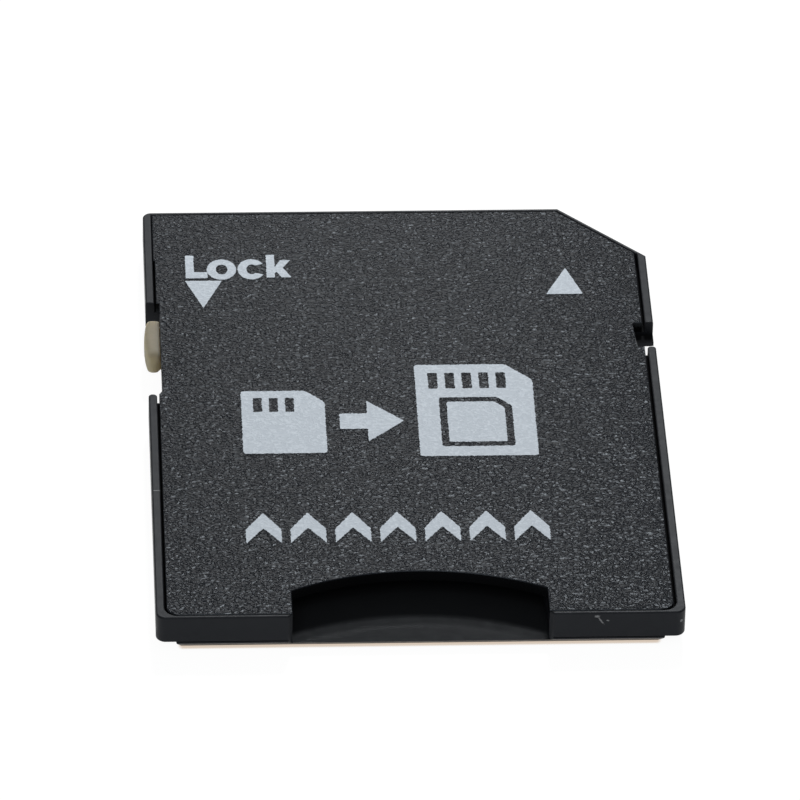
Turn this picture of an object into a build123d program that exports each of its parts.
"""Memory card adapter: a full-size card shell that takes a small memory card from its rear end.

The adapter lies with its contact side down on z = 0 and its label side up. X runs across it,
with the cut corner at +X. Y runs along it, with the contact end at +Y and the card slot at -Y.
All sizes are in millimetres.
"""

from build123d import *
import os
from math import sqrt

# Outline of the card
card_width = 24.0
card_length = 32.0
card_thickness = 2.1
corner_cut = 4.0
rear_corner_radius = 0.45
front_corner_radius = 0.4
outer_edge_radius = 0.08

# Guide rails along the sides, and the raised land on the contact side
rail_underside = 0.7
rail_width = 0.92
land_side_slope = 0.25
land_rear_slope = 0.67
land_rear_height = 0.62
land_front_bevel = 0.3

# Side walls, end lips and the seat of the label-side cover
wall_width = 0.4
rear_lip = 0.2
front_lip = 0.2
cover_thickness = 0.55
groove_left = 0.1
groove_right = 0.13
groove_ends = 0.03
shoulder_setback = 4.0
panel_corner_radius = 0.6
panel_edge_bevel = 0.035

# Card well, sized for the small card that it takes
small_card_width = 11.0
small_card_length = 15.0
small_card_gap = 0.12
well_floor = 0.5
mouth_half_width = 5.82
mouth_bevel = 0.2
mouth_straight = 1.6
mouth_flare = 2.2
well_end_gap = 0.1
cored_floor = 0.5

# Thumb cut in the cover over the slot
thumb_cut_depth = 3.32
thumb_cut_radius = 13.0

# Write-protect notch on the left, measured back from the contact end
switch_notch_start = 7.5
switch_notch_length = 7.3
switch_notch_depth = 0.7
switch_panel_inset = 0.14
switch_panel_slant = 0.25
notch_end_radius = 0.17

# Write-protect slider and the chamber that guides it
slider_travel = 2.1
slider_end_gap = 0.06
chamber_overrun_front = 0.4
chamber_overrun_rear = 0.4
chamber_width = 1.4
chamber_floor = 0.9
tongue_side_gap = 0.05
tongue_thickness = 0.55
tongue_lift = 0.05
nub_length = 3.15
nub_offset = -0.28
nub_bulge = 0.12
nub_recess = 0.05
nub_bottom = 0.8
nub_top = 1.95
nub_outer_radius = 0.33
nub_inner_radius = 0.22
nub_edge_radius = 0.2
nub_end_radius = 0.5
nub_foot_radius = 0.24
nub_panel_gap = 0.05
spring_slit_width = 0.22
spring_slit_length = 3.4
spring_arm_width = 0.32
click_bump = 0.1
click_dimple_gap = 0.03

# Retention notch on the right, measured back from the contact end
retention_notch_start = 9.5
retention_notch_length = 1.9
retention_panel_slant = 0.12
retention_corner_radius = 0.12
retention_web_length = 0.67
retention_web_top = 1.4
retention_web_thickness = 0.2

# Contact pads, spread over the width between the two end ones, and the bays that bare them
first_pad_margin = 2.625
last_pad_margin = 2.25
last_pad_step = 1.7
next_pad_step = 2.425
pad_gap = 0.9
last_pad_width = 0.95
bay_side_gap = 0.075
bay_length = 5.7
pad_front_margin = 0.75
pad_rear_cover = 0.35
corner_pad_setback = 1.9
corner_bay_setback = 1.7

# Stamped terminals
sheet_thickness = 0.15
terminal_cover = 0.1
terminal_bend_radius = 0.12
tip_lift = 0.28
tip_length = 0.3
tip_width = 0.8
tip_ramp = 0.25
bar_gap = 0.1
leg_width = 0.55
joggle_setback = 1.8
joggle_length = 0.8
fan_setback = 0.5
tail_level = 0.375
finger_pitch = 1.1
finger_width = 0.45
finger_offset = -0.6
finger_root_length = 0.7
finger_reach = 2.5
finger_tip_length = 0.8
finger_rise = 0.55
finger_tip_drop = 0.32
finger_pit_depth = 0.25
finger_pit_margin = 0.3

# Leaf spring that holds the small card by its side notch
leaf_thickness = 0.12
leaf_margin = 0.08
leaf_pocket_width = 1.2
leaf_notch_distance = 8.0
leaf_half_length = 3.6
leaf_foot_length = 1.3
leaf_crest_half = 0.35
leaf_poke = 0.35
leaf_bend_radius = 0.3

# Cored pockets that keep the walls even
rib_width = 0.6
core_front_wall = 1.5
core_edge_wall = 1.3
side_core_wall = 1.0
side_core_setback = 2.5

# Locating pins of the cover
pin_diameter = 0.8
pin_length = 0.4
pin_gap = 0.03
left_pin_inset = 1.2
left_pin_setback = 4.3
right_pin_inset = 0.2
right_pin_setback = 6.6
rear_pin_inset = 3.2
rear_pin_setback = 1.25

# How near two places lie when they are taken as one
contact_tolerance = 0.001

# Places worked out from the sizes above
left = -card_width / 2
right = card_width / 2
rear = -card_length / 2
front = card_length / 2
seat = card_thickness - cover_thickness
land_edge = right - rail_width
well_half_width = small_card_width / 2 + small_card_gap
well_end = rear + small_card_length + well_end_gap
bay_rear = front - bay_length
pad_top = rail_underside + sheet_thickness
plate_top = pad_top + terminal_cover
switch_notch_front = front - switch_notch_start
switch_notch_rear = switch_notch_front - switch_notch_length
chamber_front = switch_notch_front + chamber_overrun_front
chamber_rear = switch_notch_rear + chamber_overrun_rear
chamber_left = left + switch_notch_depth
chamber_right = chamber_left + chamber_width
tongue_front = chamber_front - slider_end_gap
tongue_rear = chamber_rear + slider_travel + slider_end_gap
tongue_middle = (tongue_front + tongue_rear) / 2
retention_notch_front = front - retention_notch_start
retention_notch_rear = retention_notch_front - retention_notch_length
panel_left = left + wall_width + groove_left
panel_right = right - wall_width - groove_right
panel_rear = rear + rear_lip + groove_ends
shoulder_left = left + wall_width + groove_ends
thumb_cut_top = rear + thumb_cut_depth
leaf_centre_y = well_end - leaf_notch_distance
leaf_back_x = well_half_width + leaf_pocket_width
leaf_window_half = leaf_half_length - leaf_foot_length + leaf_bend_radius
pad_front_edge = front - pad_front_margin
bar_rear = pad_front_edge + tip_ramp
joggle_rear = well_end + joggle_setback
joggle_front = joggle_rear + joggle_length
fan_rear = joggle_front + fan_setback

# The pads from the cut corner on: seven at an even pitch, then two that stand closer
even_pads = ["data_2", "data_3", "command", "ground_1", "supply", "clock", "ground_2"]
first_pad_x = right - first_pad_margin
last_pad_x = left + last_pad_margin
next_pad_x = last_pad_x + last_pad_step
pad_pitch = (first_pad_x - next_pad_x - next_pad_step) / (len(even_pads) - 1)
pads = {name: first_pad_x - number * pad_pitch for number, name in enumerate(even_pads)}
pads["data_0"] = next_pad_x
pads["data_1"] = last_pad_x
pad_width = pad_pitch - pad_gap

# The sprung fingers stand closer together, in the same order, one for each terminal
fingers = ["data_2", "data_3", "command", "supply", "clock", "ground_2", "data_0", "data_1"]
first_finger_x = finger_offset + finger_pitch * (len(fingers) - 1) / 2
finger_x = {name: first_finger_x - number * finger_pitch for number, name in enumerate(fingers)}

cover_pins = [
    (left + wall_width + left_pin_inset, front - left_pin_setback),
    (land_edge - right_pin_inset, front - right_pin_setback),
    (left + rear_pin_inset, rear + rear_pin_setback),
    (right - rear_pin_inset, rear + rear_pin_setback),
]


def card_outline(rear_radius=0.0, front_radius=0.0):
    """Plan of the card with its cut corner."""
    with BuildSketch() as outline:
        with BuildLine():
            Polyline(
                (left, rear),
                (right, rear),
                (right, front - corner_cut),
                (right - corner_cut, front),
                (left, front),
                close=True,
            )
        make_face()
        if rear_radius:
            fillet(outline.vertices().group_by(Axis.Y)[0], rear_radius)
        if front_radius:
            fillet(outline.vertices().group_by(Axis.Y)[-1].sort_by(Axis.X)[0], front_radius)
    return outline.sketch


def behind_front_edge(depth):
    """Plan of what lies behind a band of the given depth along the contact end and cut corner."""
    with BuildSketch() as plan:
        with BuildLine():
            Polyline(
                (left, rear),
                (right, rear),
                (right, front - corner_cut - depth * sqrt(2)),
                (right - corner_cut + depth - depth * sqrt(2), front - depth),
                (left, front - depth),
                close=True,
            )
        make_face()
    return plan.sketch


def box_plan(x_low, x_high, y_low, y_high):
    """Plan of a rectangle between the given limits."""
    with BuildSketch() as plan:
        with Locations(((x_low + x_high) / 2, (y_low + y_high) / 2)):
            Rectangle(x_high - x_low, y_high - y_low)
    return plan.sketch


def pad_plan(name):
    """Plan of one contact pad."""
    width = last_pad_width if name == "data_1" else pad_width
    setback = corner_pad_setback if name == "data_2" else 0
    pad_front = front - pad_front_margin - setback
    pad_rear = bay_rear - pad_rear_cover - (corner_bay_setback if name == "data_2" else 0)
    return box_plan(pads[name] - width / 2, pads[name] + width / 2, pad_rear, pad_front)


def leg_plan(name):
    """Plan of the leg that fans in from a pad to its spring finger."""
    leg_front = bay_rear - (corner_bay_setback if name == "data_2" else 0)
    pad_x = pads[name]
    tail_x = finger_x[name]
    finger_end = well_end - finger_root_length - finger_reach - finger_tip_length
    with BuildSketch() as plan:
        with BuildLine():
            Polyline(
                (pad_x - leg_width / 2, leg_front),
                (pad_x + leg_width / 2, leg_front),
                (tail_x + finger_width / 2, fan_rear),
                (tail_x + finger_width / 2, finger_end),
                (tail_x - finger_width / 2, finger_end),
                (tail_x - finger_width / 2, fan_rear),
                close=True,
            )
        make_face()
    return plan.sketch


def tip_plan(name):
    """Plan of the narrow front tip that anchors a pad in the moulding.

    The two ground tips run on into the bar that joins them. The others end short of it.
    """
    tip_front = bar_rear + tip_length if name.startswith("ground") else bar_rear - bar_gap
    return box_plan(pads[name] - tip_width / 2, pads[name] + tip_width / 2, bay_rear, tip_front)


# The strip that every terminal is stamped from, bent as seen from the side:
# anchored tip, contact pad, joggle down to the well floor, and sprung finger
pad_middle = rail_underside + sheet_thickness / 2
finger_root = well_end - finger_root_length
finger_crest = finger_root - finger_reach
with BuildPart() as bent_strip:
    with BuildSketch(Plane.YZ):
        with BuildLine():
            FilletPolyline(
                (pad_front_edge + tip_ramp + tip_length, pad_middle + tip_lift),
                (pad_front_edge + tip_ramp, pad_middle + tip_lift),
                (pad_front_edge, pad_middle),
                (joggle_front, pad_middle),
                (joggle_rear, tail_level),
                (finger_root, tail_level),
                (finger_crest, tail_level + finger_rise),
                (finger_crest - finger_tip_length, tail_level + finger_rise - finger_tip_drop),
                radius=terminal_bend_radius,
            )
        trace(line_width=sheet_thickness)
    extrude(amount=right, both=True)


def make_terminal(name, leg_name, pad_names, bar=False):
    """One stamped terminal: the bent strip cut to its plan of pads, tips, leg and finger."""
    with BuildPart() as terminal:
        add(bent_strip.part)
        with BuildSketch(Plane.XY):
            for pad_name in pad_names:
                add(pad_plan(pad_name))
                if pad_name != "data_2":
                    add(tip_plan(pad_name))
            add(leg_plan(leg_name))
            if bar:
                bar_ends = sorted(pads[pad_name] for pad_name in pad_names)
                add(box_plan(bar_ends[0], bar_ends[-1], bar_rear, bar_rear + tip_length))
        extrude(amount=card_thickness, mode=Mode.INTERSECT)
    terminal.part.label = name
    return terminal.part


terminals = [
    make_terminal("terminal_data_2", "data_2", ["data_2"]),
    make_terminal("terminal_data_3", "data_3", ["data_3"]),
    make_terminal("terminal_command", "command", ["command"]),
    make_terminal("terminal_ground", "ground_2", ["ground_1", "ground_2"], bar=True),
    make_terminal("terminal_supply", "supply", ["supply"]),
    make_terminal("terminal_clock", "clock", ["clock"]),
    make_terminal("terminal_data_0", "data_0", ["data_0"]),
    make_terminal("terminal_data_1", "data_1", ["data_1"]),
]

# Raised land of the contact side, with sloping borders at the sides and the slot end
with BuildPart() as land:
    with BuildSketch(Plane.XZ):
        with BuildLine():
            Polyline(
                (-land_edge + land_side_slope, 0),
                (land_edge - land_side_slope, 0),
                (land_edge, rail_underside),
                (-land_edge, rail_underside),
                close=True,
            )
        make_face()
    extrude(amount=front, both=True)
    with BuildSketch(Plane.YZ):
        with BuildLine():
            Polyline(
                (rear, rail_underside),
                (rear, land_rear_height),
                (rear + land_rear_slope, 0),
                (front - land_front_bevel, 0),
                (front, land_front_bevel),
                (front, rail_underside),
                close=True,
            )
        make_face()
    extrude(amount=right, both=True, mode=Mode.INTERSECT)
    with BuildSketch(Plane.XY):
        add(card_outline())
    extrude(amount=rail_underside, mode=Mode.INTERSECT)

# Contact-side shell, moulded round the terminals
with BuildPart() as contact_shell:
    with BuildSketch(Plane.XY.offset(rail_underside)):
        add(card_outline(rear_radius=rear_corner_radius, front_radius=front_corner_radius))
    extrude(amount=card_thickness - rail_underside)
    fillet(contact_shell.edges().group_by(Axis.Z)[0], outer_edge_radius)
    add(land.part)

    # Bays that bare the contact pads, open at the contact end
    with BuildSketch(Plane.XY):
        for name, pad_x in pads.items():
            width = last_pad_width if name == "data_1" else pad_width
            width += 2 * bay_side_gap
            setback = corner_bay_setback if name == "data_2" else 0
            add(box_plan(pad_x - width / 2, pad_x + width / 2, bay_rear - setback, front))
    extrude(amount=rail_underside, mode=Mode.SUBTRACT)

    # Recess for the cover, inside the side walls and a lip at each end
    with BuildSketch(Plane.XY.offset(seat)) as recess_plan:
        add(box_plan(left + wall_width, right - wall_width, rear + rear_lip, front))
        add(behind_front_edge(front_lip), mode=Mode.INTERSECT)
        fillet(recess_plan.vertices().group_by(Axis.Y)[0], panel_corner_radius + groove_ends)
    extrude(amount=cover_thickness, mode=Mode.SUBTRACT)

    # Well for the small card, with a bevelled and flared mouth through the slot end
    with BuildSketch(Plane.XY.offset(well_floor)) as well_plan:
        with BuildLine():
            Polyline(
                (0, rear),
                (mouth_half_width + mouth_bevel, rear),
                (mouth_half_width, rear + mouth_bevel),
                (mouth_half_width, rear + mouth_straight),
                (well_half_width, rear + mouth_straight + mouth_flare),
                (well_half_width, well_end),
                (0, well_end),
                close=True,
            )
        make_face()
        mirror(about=Plane.YZ)
    extrude(amount=card_thickness - well_floor, mode=Mode.SUBTRACT)

    # Pit in the well floor under the sprung fingers
    pit_left = finger_x["data_1"] - finger_width / 2 - finger_pit_margin
    pit_right = finger_x["data_2"] + finger_width / 2 + finger_pit_margin
    pit_rear = finger_crest - finger_tip_length - finger_pit_margin
    with BuildSketch(Plane.XY.offset(well_floor - finger_pit_depth)):
        add(box_plan(pit_left, pit_right, pit_rear, well_end))
    extrude(amount=finger_pit_depth, mode=Mode.SUBTRACT)

    # Cored pockets between the ribs, over the terminals and beside the well
    with BuildSketch(Plane.XY.offset(plate_top)):
        core_left = chamber_right + rib_width
        core_right = right - retention_panel_slant - rail_width - core_edge_wall
        add(box_plan(core_left, core_right, joggle_front + rib_width, front))
        add(behind_front_edge(core_front_wall), mode=Mode.INTERSECT)
        rib_y = (joggle_front + front) / 2
        add(box_plan(left, right, rib_y - rib_width / 2, rib_y + rib_width / 2), mode=Mode.SUBTRACT)
        for rib_x in (pads["clock"], pads["command"]):
            add(box_plan(rib_x - rib_width / 2, rib_x + rib_width / 2, rear, front),
                mode=Mode.SUBTRACT)
    extrude(amount=seat - plate_top, mode=Mode.SUBTRACT)
    with BuildSketch(Plane.XY.offset(cored_floor)):
        side_core_rear = rear + side_core_setback
        side_core_inner = mouth_half_width + side_core_wall
        side_core_outer = land_edge - land_side_slope
        side_core_middle = (side_core_rear + well_end) / 2
        add(box_plan(-side_core_outer, -side_core_inner, side_core_rear, well_end))
        add(box_plan(leaf_back_x + side_core_wall, side_core_outer, side_core_rear, well_end))
        add(box_plan(left, right, side_core_middle - rib_width / 2, side_core_middle + rib_width / 2),
            mode=Mode.SUBTRACT)
    extrude(amount=seat - cored_floor, mode=Mode.SUBTRACT)

    # Write-protect notch through the left rail, and the slider's chamber beside it
    with BuildSketch(Plane.XY):
        add(box_plan(left, chamber_left, switch_notch_rear, switch_notch_front))
    extrude(amount=card_thickness, mode=Mode.SUBTRACT)
    with BuildSketch(Plane.XY.offset(chamber_floor)):
        add(box_plan(chamber_left, chamber_right, chamber_rear, chamber_front))
        with Locations((chamber_right, tongue_middle), (chamber_right, tongue_middle - slider_travel)):
            Circle(click_bump + click_dimple_gap)
    extrude(amount=seat - chamber_floor, mode=Mode.SUBTRACT)

    # Retention notch through the right rail, with a thin web left standing at its front
    with BuildSketch(Plane.XY):
        add(box_plan(land_edge, right, retention_notch_rear, retention_notch_front))
    extrude(amount=card_thickness, mode=Mode.SUBTRACT)
    with BuildSketch(Plane.XY.offset(retention_web_top)):
        add(box_plan(land_edge, right, retention_notch_front - retention_web_length,
                     retention_notch_front))
    extrude(amount=-retention_web_thickness)

    # Pocket for the leaf spring, with a window into the well
    with BuildSketch(Plane.XY.offset(well_floor)):
        add(box_plan(leaf_back_x - 2 * leaf_margin - leaf_thickness, leaf_back_x,
                     leaf_centre_y - leaf_half_length - leaf_margin,
                     leaf_centre_y + leaf_half_length + leaf_margin))
        add(box_plan(well_half_width, leaf_back_x,
                     leaf_centre_y - leaf_window_half, leaf_centre_y + leaf_window_half))
    extrude(amount=seat - well_floor, mode=Mode.SUBTRACT)

    # Sockets for the cover's locating pins
    with BuildSketch(Plane.XY.offset(seat)):
        with Locations(*cover_pins):
            Circle(pin_diameter / 2 + pin_gap)
    extrude(amount=-pin_length - pin_gap, mode=Mode.SUBTRACT)

    # Rounded ends where the side walls begin again behind the notches, and soft top edges
    upright_edges = contact_shell.edges().filter_by(Axis.Z)
    wall_ends = ShapeList()
    for notch_end in (switch_notch_rear, retention_notch_rear):
        for wall_face in (left, left + wall_width, right - wall_width, right):
            wall_ends += upright_edges.filter_by(
                lambda edge: abs(edge.center().X - wall_face) < contact_tolerance
                and abs(edge.center().Y - notch_end) < contact_tolerance
            )
    fillet(wall_ends, notch_end_radius)
    fillet(contact_shell.edges().group_by(Axis.Z)[-1], outer_edge_radius)

    for terminal in terminals:
        add(terminal, mode=Mode.SUBTRACT)
contact_shell.part.label = "contact_shell"

# Label-side cover: a plate let in between the walls and lips, with a closer left shoulder in front
with BuildPart() as label_shell:
    with BuildSketch(Plane.XY.offset(seat)) as cover_plan:
        add(box_plan(panel_left, panel_right, panel_rear, front))
        fillet(cover_plan.vertices().group_by(Axis.Y)[0], panel_corner_radius)
        add(box_plan(shoulder_left, panel_left, front - shoulder_setback, front))
        add(behind_front_edge(front_lip + groove_ends), mode=Mode.INTERSECT)
    extrude(amount=cover_thickness)

    # Thumb cut: straight sides in line with the slot mouth, closed by one broad arc
    with BuildSketch(Plane.XY.offset(seat)):
        with Locations((0, thumb_cut_top - thumb_cut_radius)):
            Circle(thumb_cut_radius)
        add(box_plan(-mouth_half_width, mouth_half_width, rear, thumb_cut_top), mode=Mode.INTERSECT)
    extrude(amount=cover_thickness, mode=Mode.SUBTRACT)

    # Step back along the write-protect notch, and the retention notch
    with BuildSketch(Plane.XY.offset(seat)):
        with BuildLine():
            Polyline(
                (left, switch_notch_front),
                (panel_left + switch_panel_inset, switch_notch_front),
                (panel_left + switch_panel_inset, switch_notch_rear + switch_panel_slant),
                (panel_left, switch_notch_rear),
                (left, switch_notch_rear),
                close=True,
            )
        make_face()
    extrude(amount=cover_thickness, mode=Mode.SUBTRACT)
    with BuildSketch(Plane.XY.offset(seat)) as retention_plan:
        with BuildLine():
            Polyline(
                (right, retention_notch_front),
                (land_edge - retention_panel_slant / 2, retention_notch_front),
                (land_edge + retention_panel_slant / 2, retention_notch_rear),
                (right, retention_notch_rear),
                close=True,
            )
        make_face()
        fillet(retention_plan.vertices().sort_by(Axis.X)[:2], retention_corner_radius)
    extrude(amount=cover_thickness, mode=Mode.SUBTRACT)
    chamfer(label_shell.edges().group_by(Axis.Z)[-1], panel_edge_bevel)

    # Locating pins underneath
    with BuildSketch(Plane.XY.offset(seat)):
        with Locations(*cover_pins):
            Circle(pin_diameter / 2)
    extrude(amount=-pin_length)
label_shell.part.label = "label_shell"

# Write-protect slider: a nub in the notch on a tongue with a sprung click arm
tongue_left = chamber_left + tongue_side_gap
tongue_right = chamber_right - click_bump - tongue_side_gap
nub_middle = tongue_middle + nub_offset
nub_front = nub_middle + nub_length / 2
nub_rear = nub_middle - nub_length / 2
nub_side = left + nub_recess
nub_inner = panel_left + switch_panel_inset - nub_panel_gap
with BuildPart() as lock_slider:
    with BuildSketch(Plane.XY.offset(nub_bottom)) as nub_plan:
        with BuildLine():
            Polyline((nub_side, nub_rear), (nub_inner, nub_rear), (nub_inner, nub_front),
                     (nub_side, nub_front))
            ThreePointArc((nub_side, nub_front), (left - nub_bulge, nub_middle), (nub_side, nub_rear))
        make_face()
        nub_corners = nub_plan.vertices().sort_by(Axis.X)
        fillet(nub_corners[:2], nub_outer_radius)
        fillet(nub_plan.vertices().group_by(Axis.X)[-1], nub_inner_radius)
    extrude(amount=nub_top - nub_bottom)
    fillet(lock_slider.edges().group_by(Axis.Z)[-1], nub_edge_radius)
    with BuildSketch(Plane.YZ) as nub_profile:
        with Locations((nub_middle, (nub_bottom + nub_top) / 2)):
            Rectangle(nub_length, nub_top - nub_bottom)
        fillet(nub_profile.vertices().group_by(Axis.Y)[-1], nub_end_radius)
        fillet(nub_profile.vertices().group_by(Axis.Y)[0], nub_foot_radius)
    extrude(amount=card_width, both=True, mode=Mode.INTERSECT)
    with BuildSketch(Plane.XY.offset(chamber_floor + tongue_lift)):
        add(box_plan(tongue_left, tongue_right, tongue_rear, tongue_front))
        add(box_plan(nub_inner - nub_inner_radius, tongue_right,
                     nub_rear + nub_inner_radius, nub_front - nub_inner_radius))
        with Locations((tongue_right, tongue_middle)):
            Circle(click_bump)
        slit_x = tongue_right - spring_arm_width - spring_slit_width / 2
        with Locations((slit_x, tongue_middle)):
            SlotOverall(spring_slit_length, spring_slit_width, rotation=90, mode=Mode.SUBTRACT)
    extrude(amount=tongue_thickness)
lock_slider.part.label = "lock_slider"

# Leaf spring: a bowed strip whose crest reaches through the window into the well
leaf_back = leaf_back_x - leaf_margin - leaf_thickness / 2
leaf_crest = well_half_width - leaf_poke
with BuildPart() as detent_spring:
    with BuildSketch(Plane.XY.offset(well_floor + leaf_margin)):
        with BuildLine():
            FilletPolyline(
                (leaf_back, leaf_centre_y + leaf_half_length),
                (leaf_back, leaf_centre_y + leaf_half_length - leaf_foot_length),
                (leaf_crest, leaf_centre_y + leaf_crest_half),
                (leaf_crest, leaf_centre_y - leaf_crest_half),
                (leaf_back, leaf_centre_y - leaf_half_length + leaf_foot_length),
                (leaf_back, leaf_centre_y - leaf_half_length),
                radius=leaf_bend_radius,
            )
        trace(line_width=leaf_thickness)
    extrude(amount=seat - well_floor - 2 * leaf_margin)
detent_spring.part.label = "detent_spring"

os.makedirs("parts", exist_ok=True)
for piece in [contact_shell.part, label_shell.part, lock_slider.part, detent_spring.part, *terminals]:
    export_step(piece, f"parts/{piece.label}.step")
